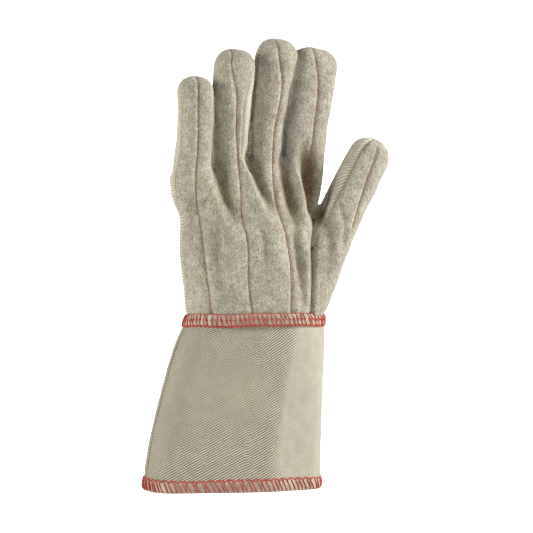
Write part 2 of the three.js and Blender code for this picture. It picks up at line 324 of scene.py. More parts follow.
def point_normals(points, faces):
    """Unit normal at each point: the sum of the normals of the triangles round it."""
    a, b, c = points[faces[:, 0]], points[faces[:, 1]], points[faces[:, 2]]
    flat = np.cross(b - a, c - a)
    total = np.zeros_like(points)
    for corner in range(3):
        for axis in range(3):
            total[:, axis] += np.bincount(faces[:, corner], flat[:, axis], len(points))
    return total / np.maximum(np.linalg.norm(total, axis=1, keepdims=True), 1e-12)


skin, skin_faces = joined_skin()
skin_normals = point_normals(skin, skin_faces)
print("skin:", len(skin), "points,", len(skin_faces), "triangles")

# %% [markdown]
# ## Where one cloth ends and the next begins
#
# The palm side is cut from flannel and wraps round the whole index finger, the backs of the other fingers
# are twill, and the thumb is a tube of its own. Each border is the zero line of a number worked out for
# every point: above zero is one cloth, below zero the other, and near the line it is the distance in
# millimetres. The seams of a finger are given as angles round it, 0 on the thumb side, 90 at the back and
# 180 on the little finger side, because a glove's fingers roll: on the ring finger the seam has come right
# round to the front.

# %% Seam tables
FINGER_SEAMS = {
    "little": table("z right left", (236, -28, 212), (262, -30, 208), (290, -30, 200), (315, -22, 194)),
    "ring": table(
        "z right left",
        *((238, -50, 172), (255, -56, 168), (275, -60, 165), (295, -58, 165)),
        *((308, -44, 166), (318, -26, 168), (335, -14, 172)),
    ),
    "middle": table(
        "z right left",
        *((240, -5, 205), (262, -5, 206), (302, -5, 204), (322, -5, 200), (344, -5, 190)),
    ),
}
LEFT_SEAM = table("z y", (124, -3), (200, -5), (224, -11), (250, -12))
STRIP_SEAM = table("z x", (124, 39.5), (205, 39), (230, 40), (252, 42.6))
BACK_SEAM = table("z x", (124, -2), (205, -2), (230, 4.5), (252, 13.5))
THUMB_SEAM = table(
    "z front back",
    (118, 54, 73),
    (145, 55, 73.5),
    (165, 56, 73.5),
    (188, 57.2, 70),
    (205, 61.5, 67),
    (222, 70.5, 71.5),
    (240, 77, 77),
    (275, 88, 88),
    (300, 100, 100),
)
THUMB_STRIP = (118, 228)  # its two seams, as angles round the thumb
INDEX_SEAM, INDEX_REACH = 204, 14  # an angle round the index finger, and half its width in mm
SEAM_REACH = 15  # mm, half a finger's width, which turns an angle round it into a distance
NO_SEAM = 30  # mm, a distance at which a seam has no effect
CROTCH_LOW, CROTCH_HIGH = 238, 252  # between these the body hands over to the fingers


# %% Borders as numbers
def centre(name, z):
    """Middle, half width and half depth of a finger at each height. Past its last row the line goes
    straight on."""
    rows = FINGERS[name]
    lean = {c: (rows[c][-1] - rows[c][-2]) / (rows["z"][-1] - rows["z"][-2]) for c in "xy"}
    past = np.maximum(z - rows["z"][-1], 0)
    x, y = (value_at(rows, c, z) + lean[c] * past for c in "xy")
    return x, y, value_at(rows, "wide", z), value_at(rows, "deep", z)


def round_finger(name, p):
    """Angle of each point round a finger in degrees, from -90 at the front to 270, and its distance from
    the finger's line in half widths."""
    x, y, wide, deep = centre(name, p[:, 2])
    across, back = (p[:, 0] - x) / wide, (p[:, 1] - y) / deep
    angle = np.degrees(np.arctan2(back, across))
    return np.where(angle < -90, angle + 360, angle), np.hypot(across, back)


def nearest_finger(p):
    """Index into FINGERS of the finger nearest to each point, of the four that point up."""
    names = list(FINGERS)[:4]
    return np.argmin([round_finger(name, p)[1] for name in names], axis=0)


def thumb_side(p):
    """Above zero on the thumb. The border's x goes from its front line to its back line with y, and the
    last factor makes a distance of it, because the border stands a little aslant."""
    x, y, z = p.T
    to_back = ease(y, -14, 12)
    front, back = (value_at(THUMB_SEAM, c, z) for c in ("front", "back"))
    return (x - front - (back - front) * to_back) * 0.93


def back_side(p):
    """Above zero where the cloth is twill: behind the side seams and left of the strip seam. Over the
    fingers, and for each of them, it is the arc from the nearer of its two seams."""
    x, y, z = p.T
    body = np.minimum(y - value_at(LEFT_SEAM, "y", z), value_at(STRIP_SEAM, "x", z) - x)
    near = nearest_finger(p)
    fingers = np.full(len(p), -20.0)
    for i, (name, seams) in enumerate(FINGER_SEAMS.items()):
        angle = round_finger(name, p)[0]
        right, left = value_at(seams, "right", z), value_at(seams, "left", z)
        arc = np.radians(np.minimum(angle - right, left - angle)) * SEAM_REACH
        fingers = np.where(near == i, arc, fingers)
    up = ease(z, CROTCH_LOW, CROTCH_HIGH)
    return body * (1 - up) + fingers * up


def thumb_strip(p):
    """Above zero on the strip of fine twill that faces the index finger and wraps on to the thumb's
    back."""
    angle = round_finger("thumb", p)[0]
    arc = np.radians(np.minimum(angle - THUMB_STRIP[0], THUMB_STRIP[1] - angle)) * SEAM_REACH
    return np.minimum(arc, thumb_side(p))


def index_seam(p):
    """Distance from the seam that closes the index finger on the side of the middle finger. It runs from
    the crotch to the tip."""
    arc = np.radians(round_finger("index", p)[0] - INDEX_SEAM) * INDEX_REACH
    on_index = nearest_finger(p) == list(FINGERS).index("index")
    return np.where(on_index & (thumb_side(p) < 0), arc, NO_SEAM)


def outer_side(p):
    """Above zero on the little finger's half of the back."""
    return value_at(BACK_SEAM, "x", p[:, 2]) - p[:, 0]


def keep_side(points, faces, number):
    """Cuts triangles along the zero line of a number given at each point, and keeps what lies above it.
    points may hold further columns, such as normals, which are worked out for the new points on the cut as
    well."""
    inside = number[faces] > 0
    count = inside.sum(axis=1)
    kept = [faces[count == 3]]
    new_points, edges = [points], []
    for some in (1, 2):
        cut = faces[count == some]
        odd = np.argmax(inside[count == some] == (some == 1), axis=1)
        turned = np.take_along_axis(cut, (odd[:, None] + np.arange(3)) % 3, axis=1)
        edges.append(turned)
    one, two = edges
    pairs = np.concatenate([one[:, [0, 1]], one[:, [0, 2]], two[:, [0, 1]], two[:, [0, 2]]])
    low, high = pairs.min(axis=1), pairs.max(axis=1)
    keys, which = np.unique(low * len(points) + high, return_inverse=True)
    a, b = keys // len(points), keys % len(points)
    share = (number[a] / (number[a] - number[b]))[:, None]
    new_points.append(points[a] * (1 - share) + points[b] * share)
    which = which.ravel() + len(points)
    n, m = len(one), len(two)
    kept.append(np.stack([one[:, 0], which[:n], which[n : 2 * n]], axis=1))
    ab, ac = which[2 * n : 2 * n + m], which[2 * n + m :]
    kept.append(np.stack([ab, two[:, 1], two[:, 2]], axis=1))
    kept.append(np.stack([ab, two[:, 2], ac], axis=1))
    points, faces = np.concatenate(new_points), np.concatenate(kept)
    used, faces = np.unique(faces, return_inverse=True)
    return points[used], faces.reshape(-1, 3)


print("cloth borders:", ", ".join(f.__name__ for f in (thumb_side, back_side, outer_side)))

# %% [markdown]
# ## Quilting, seams and folds
#
# Thick cotton tells its story in relief. Every red quilting line pulls the two layers together in a groove,
# every sewn border sinks between two soft rolls, and the cloth that has to spread from the fingers to the
# palm falls into slanting folds below each crotch. All of them are heights in millimetres added along the
# skin's normal: a groove is a bell curve of the distance to its line, and a fold is the same with its own
# row in a table.

# %% Tables of the quilting lines and the folds
QUILTING = {
    "little": table(
        "z x",
        *((134, -22.6), (150, -24.4), (167, -26.8), (190, -28.8), (208, -31), (222, -33.6), (236, -34)),
        *((259, -33), (286, -33.5), (313, -33.8)),
    ),
    "ring": table(
        "z x",
        *((134, 7.2), (156, 4.6), (172, 4.7), (190, 4.2), (205, 1), (224, 0.4), (240, 0), (256, -1.4)),
        *((272, -2.6), (286, -2.6), (299, -3), (311, -5.4), (323, -7.3), (333, -5.8)),
    ),
    "middle": table(
        "z x",
        *((134, 37.6), (155, 38), (171, 38), (184, 36.4), (197, 33.8), (213, 28.4), (229, 26.8), (247, 27.2)),
        *((267, 28.2), (283, 30.4), (296, 33), (307, 34.2), (328, 31.8), (341, 30.2)),
    ),
    "index": table(
        "z x",
        *((212, 57.6), (228, 58.2), (245, 58.8), (260, 59.8), (272, 60.6), (290, 62.6), (306, 63.8)),
        *((317, 63.2), (328, 61.2), (336, 60.4)),
    ),
    "thumb": table("z x", (200, 89.6), (218, 94.6), (236, 100), (250, 105), (262, 109.5)),
}
BACK_QUILTING = {
    "index_back": table(
        "z x",
        *((134, 61), (170, 61.5), (205, 61.2), (230, 60), (260, 60.5), (290, 63), (320, 66), (334, 66.5)),
    ),
    "thumb_back": table("z x", (196, 75.5), (210, 80.5), (226, 86.6), (242, 94.2), (254, 100.6), (262, 106)),
}
FOLDS = table(
    "side height wide x1 z1 x2 z2 x3 z3",
    # hollows and ridges that run down from the crotches over the palm
    (-1, -5.6, 5.6, -15.5, 250, -12.5, 228, -5.5, 207),
    (-1, 2.6, 4.4, -21, 240, -20, 220, -12.5, 201),
    (-1, -6.6, 4.8, 9.6, 254, 13.8, 236, 20, 216),
    (-1, 3.8, 4.4, 5.0, 250, 11.0, 229, 21.5, 196),
    (-1, -7.4, 5.2, 36.5, 250, 39.5, 226, 45.5, 198),
    (-1, 4.2, 4.4, 43.2, 250, 48.5, 230, 57.5, 206),
    (-1, -12.0, 7.0, 54, 258, 58.0, 236, 60.2, 209),
    # long soft folds over the lower palm
    (-1, -3.2, 3.0, 41.5, 194, 45, 172, 47.5, 142),
    (-1, 1.9, 3.6, 46, 204, 51, 178, 51, 148),
    (-1, -1.8, 3.6, 17.5, 210, 17, 190, 18.5, 166),
    (-1, 1.5, 5.5, 24, 202, 28, 180, 24, 150),
    (-1, 1.4, 6.0, -10, 202, -10, 178, -6, 150),
    (-1, -1.5, 4.0, -16, 196, -17, 172, -14, 142),
    (-1, -1.2, 3.4, -38, 232, -36, 210, -34, 190),
    # the heel of the thumb
    (-1, -2.2, 4.5, 66, 208, 70, 186, 67, 156),
    (-1, -1.6, 3.2, 78, 216, 82, 202, 82, 182),
    # the back: creases below the crotches and under the knuckles
    (1, -4.5, 3.6, 40.0, 257, 36.5, 240, 31, 220),
    (1, -5.0, 3.8, 11.0, 258, 3, 231, -1.5, 207),
    (1, -4.6, 4.0, -15, 250, -25, 222, -35, 202),
    (1, 2.8, 4.2, 31.5, 264, 26.5, 236, 28, 205),
    (1, -2.8, 3.4, 24, 240, 17, 226, 12.5, 194),
    (1, 2.2, 4.5, 19, 238, 10, 220, 6, 190),
    (1, -2.0, 5.0, -20, 198, -16, 172, -18, 146),
    (1, 1.7, 5.0, 22, 192, 20, 168, 24, 145),
    (1, -1.8, 4.5, 48, 212, 50, 180, 47, 148),
)
FOLD_DEPTH = 0.97  # scales all the folds
FOLD_START = 0.12  # the share of half a wave that is left off at each end of a fold
QUILT_DEPTH, QUILT_WIDTH = 1.7, 1.5  # mm, of a quilting line's groove
WRIST_TOP = 135.3  # upper edge of the wrist seam, which gathers the cloth above it
SEWN = {"thumb": 1.5, "back": 1.0, "strip": 1.2, "index": 1.0, "outer": 1.1}  # mm, how deep each border sinks
UNEVEN = ((0.55, 34, 1, 5), (0.3, 13, 0.7, 7), (0.11, 4.2, 1, 11))  # height, wave length, share upwards, seed

# %% Heights of grooves, rolls, folds and lumps
def lumps(p, length, seed):
    """Soft random unevenness from -1 to 1: the mean of sines in fixed random directions, all of one wave
    length."""
    rng = np.random.default_rng(seed)
    ways = rng.normal(size=(9, 3))
    ways *= (2 * np.pi / length * rng.uniform(0.7, 1.3, 9) / np.linalg.norm(ways, axis=1))[:, None]
    return np.sin(p @ ways.T + rng.uniform(0, 2 * np.pi, 9)).mean(axis=1) * 1.9


def groove(distance, depth, half_width):
    """A sharp small valley in a wide shallow one."""
    away = (distance / half_width) ** 2
    return -depth * (0.65 * np.exp(-away) + 0.35 * np.exp(-away / 3.2**2))


def sewn_border(distance, depth):
    """Two layers folded in and sewn: they sink at the line, and roll up beside it."""
    away = np.abs(distance)
    return -depth * np.exp(-((away / 1.3) ** 1.6)) + 0.3 * depth * np.exp(-(((away - 3.6) / 2.0) ** 2))


def fold_heights(p, facing):
    """Sum of the folds. Each is a curve through three points of the pattern: (1-t)^2 a + 2t(1-t) b + t^2 c,
    with b moved so that it passes through the middle one. Its height is a bell curve of the distance,
    fading to both ends."""
    total = np.zeros(len(p))
    t = np.linspace(0, 1, 15)[:, None]
    for side, height, wide, *knots in zip(*FOLDS.values()):
        a, b, c = np.array(knots).reshape(3, 2)
        b = 2 * b - (a + c) / 2
        line = (1 - t) ** 2 * a + 2 * t * (1 - t) * b + t * t * c
        seen = ease(facing * side, 0.0, 0.5)
        close = np.flatnonzero(
            (seen > 0)
            & (np.abs(p[:, 0] - line[:, 0].mean()) < np.ptp(line[:, 0]) / 2 + 4 * wide + 6)
            & (np.abs(p[:, 2] - line[:, 1].mean()) < np.ptp(line[:, 1]) / 2 + 4 * wide + 6)
        )
        q = p[close][:, [0, 2]]
        step = line[1:] - line[:-1]
        along = np.clip(((q[:, None] - line[:-1]) * step).sum(-1) / (step**2).sum(-1), 0, 1)
        gap = np.linalg.norm(q[:, None] - line[:-1] - along[..., None] * step, axis=-1)
        best = gap.argmin(axis=1)
        rows = np.arange(len(q))
        place = (best + along[rows, best]) / len(step)
        fading = np.sin(np.pi * (FOLD_START + (1 - 2 * FOLD_START) * place))
        total[close] += FOLD_DEPTH * height * seen[close] * fading * np.exp(-((gap[rows, best] / wide) ** 2))
    return total


def quilting_heights(p, facing):
    """Grooves of the red lines, front and back."""
    total = np.zeros(len(p))
    for side, lines in ((-1, QUILTING), (1, BACK_QUILTING)):
        for rows in lines.values():
            z, low, high = p[:, 2], rows["z"][0], rows["z"][-1]
            on_line = ease(z, low - 4, low + 2) * (1 - ease(z, high - 2, high + 3))
            slant = np.abs(np.gradient(rows["x"], rows["z"])).max() / 2
            away = (p[:, 0] - value_at(rows, "x", z)) / np.hypot(1, slant)
            total += groove(away, QUILT_DEPTH, QUILT_WIDTH) * on_line * ease(facing * side, 0.05, 0.45)
    return total


def relief(p, normals):
    """Everything that is pressed into the skin, in mm along the normal, and a painted shade from 0 to 1 that
    darkens the colour in the hollows of the folds and in the sunk seams, where less light falls."""
    z, facing = p[:, 2], normals[:, 1]
    folds = fold_heights(p, facing)
    height = quilting_heights(p, facing) + folds
    thumb, back = thumb_side(p), back_side(p)
    seams = sewn_border(thumb, SEWN["thumb"]) * (1 - ease(z, 214, 232))
    seams += sewn_border(np.where(thumb < 0, back, NO_SEAM), SEWN["back"])
    on_strip = np.where(thumb > 0, thumb_strip(p), NO_SEAM)
    on_back = np.where(back > 0, outer_side(p), NO_SEAM)
    seams += sewn_border(on_strip, SEWN["strip"]) * ease(z, 208, 222)
    seams += sewn_border(index_seam(p), SEWN["index"]) * ease(z, 244, 256)
    seams += sewn_border(on_back, SEWN["outer"]) * (1 - ease(z, 236, 250))
    gather = np.exp(-np.maximum(z - WRIST_TOP, 0) / 6)
    height += seams + gather * (0.5 * lumps(p * [1, 1, 0.2], 7, 3) - 0.4) - 0.9 * (1 - ease(z, 132, 137))
    for size, length, upwards, seed in UNEVEN:
        height += size * lumps(p * [1, 1, upwards], length, seed)
    # painted shade: the colour darkens where the folds and the seams sink in
    return height, np.clip(-folds / 6 - seams / 3, 0, 1)


print("folds:", len(FOLDS["side"]), "quilting lines:", len(QUILTING) + len(BACK_QUILTING))

# %% [markdown]
# ## Panels of cloth
#
# The cuts come before the relief, so that the points on a border are pressed in as exactly as all the
# others and the edges stay smooth. A panel then gets its thickness: the same surface again, one cloth's
# thickness further in, and a narrow wall round the edge. It is closed, as a real cut piece of double cotton
# is.

# %% Cut and press the panels
HAND_WALL = 2.4  # mm, two layers of flannel or twill together
SEAM_GAP = 0.12  # mm, half of the dark line between two panels
HAND_FOOT = 130.6  # where the panels end inside the wrist seam
surfaces = {}  # each panel's pressed outer points and triangles, for what lies on it


def walled(points, normals, faces, wall):
    """Points and faces of a surface with its inner side and the wall round its edge, and which faces are
    that wall."""
    n = len(points)
    both = np.concatenate([points, points - normals * wall])
    directed = np.concatenate([faces[:, [0, 1]], faces[:, [1, 2]], faces[:, [2, 0]]])
    key, back_key = directed[:, 0] * n + directed[:, 1], directed[:, 1] * n + directed[:, 0]
    a, b = directed[~np.isin(key, back_key)].T
    rim = np.stack([b, a, a + n, b + n], axis=1)
    flat = np.zeros(2 * len(faces) + len(rim), bool)
    flat[2 * len(faces) :] = True
    return both, faces.tolist() + (faces[:, ::-1] + n).tolist() + rim.tolist(), flat


def weave_place(p):
    """Place of each point on the flat twill: x and z on the body, and over a finger the arc round it and
    z."""
    near = nearest_finger(p)
    round_it = np.zeros(len(p))
    for i, name in enumerate(list(FINGERS)[:4]):
        angle = round_finger(name, p)[0]
        arc = np.radians(angle - 90) * SEAM_REACH
        round_it = np.where(near == i, centre(name, p[:, 2])[0] - arc, round_it)
    up = ease(p[:, 2], 226, 252)
    return np.stack([p[:, 0] * (1 - up) + round_it * up, p[:, 2]], axis=1)


def panel(name, borders, piece=None):
    """One panel: the skin inside all its borders, pressed and walled. borders are functions, each after the
    sign that it has inside the panel."""
    piece = piece or name + "_cloth"
    columns = np.concatenate([skin, skin_normals], axis=1)
    columns, faces = keep_side(columns, skin_faces, skin[:, 2] - HAND_FOOT)
    for sign, border in borders:
        columns, faces = keep_side(columns, faces, sign * border(columns[:, :3]) - SEAM_GAP)
    base, normals = columns[:, :3], columns[:, 3:]
    normals = normals / np.linalg.norm(normals, axis=1, keepdims=True)
    height, hollow = relief(base, normals)
    pressed = base + normals * height[:, None]
    surfaces[piece] = pressed, faces
    points, all_faces, flat = walled(pressed, normals, faces, HAND_WALL)
    weave = np.concatenate([weave_place(base)] * 2)
    # the painted shade goes on both sides of the panel
    obj = mesh_of(piece, points, all_faces, flat, weave, hollow=np.tile(hollow, 2))
    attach(obj, "root")
    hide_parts(name)
    edges = pressed[faces]
    area = np.linalg.norm(np.cross(edges[:, 1] - edges[:, 0], edges[:, 2] - edges[:, 0]), axis=1).sum() / 2
    print(f"{obj.name}: {2 * len(faces) + 2 * int(flat.sum())} triangles, {area:.0f} square mm")
    return obj


palm = panel("palm_panel", [(-1, thumb_side), (-1, back_side)])
thumb = panel("thumb", [(1, thumb_side), (-1, thumb_strip)])
strip = panel("thumb", [(1, thumb_side), (1, thumb_strip)], "thumb_strip")
back_outer = panel("back_panel_outer", [(-1, thumb_side), (1, back_side), (1, outer_side)])
back_inner = panel("back_panel_inner", [(-1, thumb_side), (1, back_side), (-1, outer_side)])

# %% [markdown]
# ## The gauntlet cuff
#
# The cuff is one stiff sheet of fine twill sewn into a flared tube. It is flat in front, rounds at the
# sides, and bends softly where it has been folded. The same two numbers carry it, the height and the way
# round, and its relief is a few long soft folds and the groove of the seam that closes it on the little
# finger side.

# %% Cuff surface
CUFF_WALL = 2.0
CUFF_HEIGHT = 128
CUFF_FOOT, CUFF_TOP = 7.6, 128.2  # its cut edges, hidden in the hem and the wrist seam
CUFF_ROWS, AROUND = 116, 400
FRONT_FACE, SIDE_FACE = math.radians(-6), math.radians(19)  # the ways that the two flat faces in front look
FACE_CORNER = 2.0  # mm, how softly they meet
FACE_FADE = 74, 130  # heights between which they pass into the round wrist
CUFF_SEAM = -3.8  # y of the seam that closes the cuff on the little finger side
CUFF_FOLDS = table(
    "side height wide foot lean",
    # a fold's x is foot at the hem and foot + lean at the wrist
    (-1, 0.5, 14, -40, 10),
    (-1, -0.4, 12, 4, 6),
    (1, -1.2, 11, 8, 10),
    (1, 1.1, 12, 34, 0),
)


def cuff_roundness(z, angle):
    """The back is a soft curve and the front's corners are firmer, the one on the little finger side
    most."""
    front = ease(-np.sin(angle), 0.05, 0.5)
    return 2.25 + front * (0.35 + 0.65 * ease(-np.cos(angle), -0.2, 0.5)) * (1 - ease(z, 98, 125))


def corner_x(z):
    """Where the two faces meet: near the middle at the hem, and far to the thumb side at the wrist."""
    return 15 + 0.063 * z + 0.00104 * z**2


def cuff_place(z, angle, proud=0.0):
    """Points on the cuff's section, whose front is pressed flat in two faces that meet in an upright
    corner: one looks out of the palm, the other turns to the thumb side. What lies d outside a face goes
    back by (d + sqrt(d^2 + w^2)) / 2."""
    p = on_section(CUFF, z, angle, cuff_roundness(z, angle), proud)
    corner, front = corner_x(z), value_at(CUFF, "front", z) - 0.2
    for turn in (FRONT_FACE, SIDE_FACE):
        outside = (p[..., 0] - corner) * math.sin(turn) - (p[..., 1] + front) * math.cos(turn) - proud
        back = (outside + np.sqrt(outside**2 + FACE_CORNER**2)) / 2 * (1 - ease(z, *FACE_FADE))
        p[..., 0] -= back * math.sin(turn)
        p[..., 1] += back * math.cos(turn)
    return p


def wrist_place(z, angle, proud=0.0):
    return on_section(WRIST, z, angle, proud=proud)


def arc_table(place, z, steps=1440):
    """Angles and the way round a section in mm from the front's middle, going to the thumb side."""
    angle = np.linspace(-np.pi / 2, 1.5 * np.pi, steps + 1)
    points = place(np.full(steps + 1, float(z)), angle)
    way = np.concatenate([[0], np.cumsum(np.linalg.norm(np.diff(points, axis=0), axis=1))])
    return angle, way


cuff_angle, cuff_way = arc_table(cuff_place, 60)
even = np.interp(np.linspace(0, cuff_way[-1], AROUND, endpoint=False), cuff_way, cuff_angle)


def cuff_relief(z, angle):
    """Long soft folds down the front and back and the seam on the little finger side, in mm, and the seam's
    groove from 0 to 1, which the colour uses as painted shade.
    """
    p = cuff_place(z, angle)
    x, y = p[..., 0], p[..., 1]
    bump = np.zeros_like(x)
    for side, height, wide, foot, lean in zip(*CUFF_FOLDS.values()):
        line = foot + lean * z / CUFF_HEIGHT
        bump += height * np.exp(-(((x - line) / wide) ** 2)) * ease(side * np.sin(angle), 0.1, 0.6)
    at_seam = ease(-np.cos(angle), 0.6, 0.85)
    groove_line = np.exp(-(((y - CUFF_SEAM) / 0.8) ** 2)) * at_seam * ease(z, 8, 12)
    bump += 0.5 * np.exp(-(((y - CUFF_SEAM - 4.3) / 2.6) ** 2)) * at_seam - 1.5 * groove_line
    flat_p = p.reshape(-1, 3)
    lumpy = 0.4 * lumps(flat_p * [1, 1, 0.5], 42, 21) + 0.14 * lumps(flat_p, 14, 23)
    held = ease(z, 3, 24) * (1 - ease(z, 108, 128))
    return bump * held + lumpy.reshape(x.shape) * (0.3 + 0.7 * held), groove_line


def cuff_piece():
    """The cuff as a closed wall: up the outside, over the top edge, down the inside. It gives the rings,
    their places on the flat cloth, the painted shade in its seam's groove, and the painted lit side, where
    the ribs are made smooth and even in colour as the main light washes them out."""
    z, angle = np.meshgrid(np.linspace(CUFF_FOOT, CUFF_TOP, CUFF_ROWS), even, indexing="ij")
    bump, hollow = cuff_relief(z, angle)
    outer = cuff_place(z, angle, bump)
    rings = np.concatenate([outer, cuff_place(z, angle, bump - CUFF_WALL)[::-1]])
    past_corner, border = outer[..., 0] - corner_x(z), 7 + 8 * (1 - z / CUFF_HEIGHT)
    # painted light: the side face past the corner, which turns to the main light; its ribs are painted smooth
    # and even there
    pressed = np.clip(past_corner / border, 0, 1) * ease(-outer[..., 1], -16, 10)
    way = np.interp(angle, cuff_angle, cuff_way)
    weave = np.stack([np.concatenate([way, way[::-1]]), np.concatenate([z, z[::-1]])], axis=-1)
    return rings, weave, np.concatenate([hollow, 0 * hollow]), np.concatenate([pressed, 0 * pressed])


def closed_rings(name, rings, weave, **marks):
    """Object of rings that close on themselves, last ring to first. Each face corner has its own place on
    the flat cloth, so the place goes on past a ring's end and doesn't jump back."""
    count, around = rings.shape[:2]
    r, i = np.meshgrid(np.arange(count), np.arange(around), indexing="ij")
    row, column = np.stack([r, r, r + 1, r + 1], axis=-1) % count, np.stack([i, i + 1, i + 1, i], axis=-1)
    faces = (row * around + column % around).reshape(-1, 4)
    place = weave[row, column % around]
    place[..., 0] += (column == around) * (weave[0, -1, 0] + weave[0, 1, 0] - 2 * weave[0, 0, 0])
    return mesh_of(name, rings.reshape(-1, 3), faces.tolist(), weave=place.reshape(-1, 2), **marks)


cuff_rings, cuff_weave, cuff_hollow, cuff_pressed = cuff_piece()
# the cuff carries painted shade in its seam's groove and the painted lit side
cuff = closed_rings("gauntlet", cuff_rings, cuff_weave, hollow=cuff_hollow, pressed=cuff_pressed)
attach(cuff, "root")
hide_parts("cuff")
print("cuff:", len(cuff.data.polygons), "faces,", round(cuff_way[-1]), "mm round at its middle")

# %% [markdown]
# ## The two overlocked edges
#
# Where hand and cuff meet, and along the cuff's lower edge, the layers are rolled over and bound by an
# overlock machine in red thread. Each band is a ring whose section is a soft pillow. The thread is
# modelled, because it is what the eye goes to: slanting strokes side by side, tied together by a wavy
# thread along the edge.

# %% Band rings
WRIST_LOW = 126.0
WRIST = table(
    "z left right front back",
    (WRIST_LOW, -38.9, 70.2, 34.4, 32.4),
    (WRIST_TOP, -35.8, 70.2, 33.2, 31.3),
)
HEM_TOP = 9.1
BAND_ROWS, BAND_AROUND = 15, 520
DIP_FRONT, DIP_LEFT, DIP_RIGHT = 2.0, 2.8, 1.5  # mm, how far the wrist seam hangs below its level
BANDS = {
    "wrist_seam": dict(place=wrist_place, low=WRIST_LOW, high=WRIST_TOP, proud=1.1, wall=3.6, bows=0.4),
    "cuff_hem": dict(place=cuff_place, low=0.0, high=HEM_TOP, proud=0.75, wall=3.0, bows=0.35),
}


def band_edge(band, way_share, height):
    """How far a height on the band strays up or down: the cloth is fed by hand, so the edge isn't quite
    level."""
    turn = 2 * np.pi * way_share
    return band["bows"] * (np.sin(3 * turn + 0.628) + 0.6 * np.sin(7 * turn + 2.827)) * height


def on_band(band, way, height, lift):
    """Points on a band: way in mm round it from the front's middle, height from 0 at its lower to 1 at its
    upper edge, and lift above its pillow. The pillow's section is proud * (1 - (2h-1)^4)."""
    angle_table, way_table = band["arc"]
    angle = np.interp(way % way_table[-1], way_table, angle_table)
    z = band["low"] + (band["high"] - band["low"]) * height
    pillow = band["proud"] * (1 - np.abs(2 * height - 1) ** 4)
    p = band["place"](z, angle, pillow + lift)
    if band["low"] > 0:
        front = ease(-np.sin(angle), 0, 0.8)
        left, right = ease(-np.cos(angle), 0.35, 1), ease(np.cos(angle), 0.35, 1)
        dip = DIP_FRONT * front + (1 - front) * (DIP_LEFT * left + DIP_RIGHT * right)
        p[..., 2] += band_edge(band, way / way_table[-1], 1.0) - dip
    else:
        p[..., 2] += band_edge(band, way / way_table[-1], height)
    return p


def band_piece(name, band):
    """One band as a ring of cloth: up its padded outside and down its inside."""
    band["arc"] = arc_table(band["place"], (band["low"] + band["high"]) / 2)
    length = band["arc"][1][-1]
    up = np.linspace(0, 1, BAND_ROWS)
    sunk = np.concatenate([0 * up, -band["wall"] - 0.9 * (1 - np.abs(2 * up - 1) ** 4)])
    way = np.linspace(0, length, BAND_AROUND, endpoint=False)
    h, w = np.meshgrid(np.concatenate([up, up[::-1]]), way, indexing="ij")
    spots = np.stack([w, 9 * h, 0 * w], axis=-1).reshape(-1, 3)
    puffs = 0.16 * np.sin(2 * np.pi * w / 3.5 + 3 * h) + 0.2 * lumps(spots, 9, 31).reshape(w.shape)
    rings = on_band(band, w, h, sunk[:, None] + puffs * (sunk[:, None] == 0))
    obj = closed_rings(name + "_cloth", rings, np.stack([w, h * (band["high"] - band["low"])], axis=-1))
    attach(obj, "root")
    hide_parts(name)
    print(f"{obj.name}: {length:.0f} mm round")
    return obj


bands = {name: band_piece(name, band) for name, band in BANDS.items()}


# %% Threads as thin tubes
def tubes(paths, outward, radius, sides=6):
    """Points and faces of one tube along each path. paths and outward are arrays (tube, point, 3): a ring
    lies in the plane of outward and of the path's own side, and shrinks at both ends, which are closed."""
    lean = np.gradient(paths, axis=1)
    lean /= np.maximum(np.linalg.norm(lean, axis=2, keepdims=True), 1e-9)
    side = np.cross(outward, lean)
    side /= np.maximum(np.linalg.norm(side, axis=2, keepdims=True), 1e-9)
    up = np.cross(lean, side)
    n, m = paths.shape[:2]
    thick = np.full(m, radius)
    thick[[0, -1]] *= 0.45
    turn = np.arange(sides) * 2 * np.pi / sides
    ring = side[:, :, None] * np.cos(turn)[:, None] + up[:, :, None] * np.sin(turn)[:, None]
    points = paths[:, :, None] + ring * thick[None, :, None, None]
    tube, row, corner = np.meshgrid(np.arange(n), np.arange(m - 1), np.arange(sides), indexing="ij")
    a = (tube * m + row) * sides + corner
    b = (tube * m + row) * sides + (corner + 1) % sides
    quads = np.stack([a, a + sides, b + sides, b], axis=-1).reshape(-1, 4).tolist()
    starts = (np.arange(n) * m * sides)[:, None] + np.arange(sides)
    ends = starts[:, ::-1] + (m - 1) * sides
    return points.reshape(-1, 3), quads + starts.tolist() + ends.tolist()


THREAD = 0.5  # mm, radius of the overlock thread
HEM_PITCH = 7.0  # mm between the scallops
WRIST_PITCH = 3.4  # mm between the strokes
SUNK = 0.22  # mm that a stroke's ends lie in the cloth


def strokes(band, starts, run, low, high, radius=THREAD, lift=0.38, points=7):
    """One stroke for each start, from the height low to high on the band while it runs along by run. It
    bows out in the middle and dips into the cloth at both ends."""
    t = np.linspace(0, 1, points)[None, :]
    way = starts[:, None] + np.reshape(run, (-1, 1)) * t
    height = low + (high - low) * t
    bow = lift * (1 - (2 * t - 1) ** 6) - SUNK * (2 * t - 1) ** 6
    paths = on_band(band, way, height, bow)
    outward = on_band(band, way, height, bow + 1) - paths
    return tubes(paths, outward, radius)


def along_edge(band, pitch, base, sway, lift, radius=THREAD, per_pitch=8):
    """One thread right round the band, whose height sways once in each pitch: up quickly and down
    slowly."""
    length = band["arc"][1][-1]
    count = round(length / pitch)
    way = np.linspace(0, length, count * per_pitch + 1)[None, :]
    phase = way / length * count % 1
    height = base + sway * np.where(phase < 0.3, phase / 0.3, (1 - phase) / 0.7)
    paths = on_band(band, way, height, lift + 0 * way)
    outward = on_band(band, way, height, lift + 1 + 0 * way) - paths
    return tubes(paths, outward, radius)


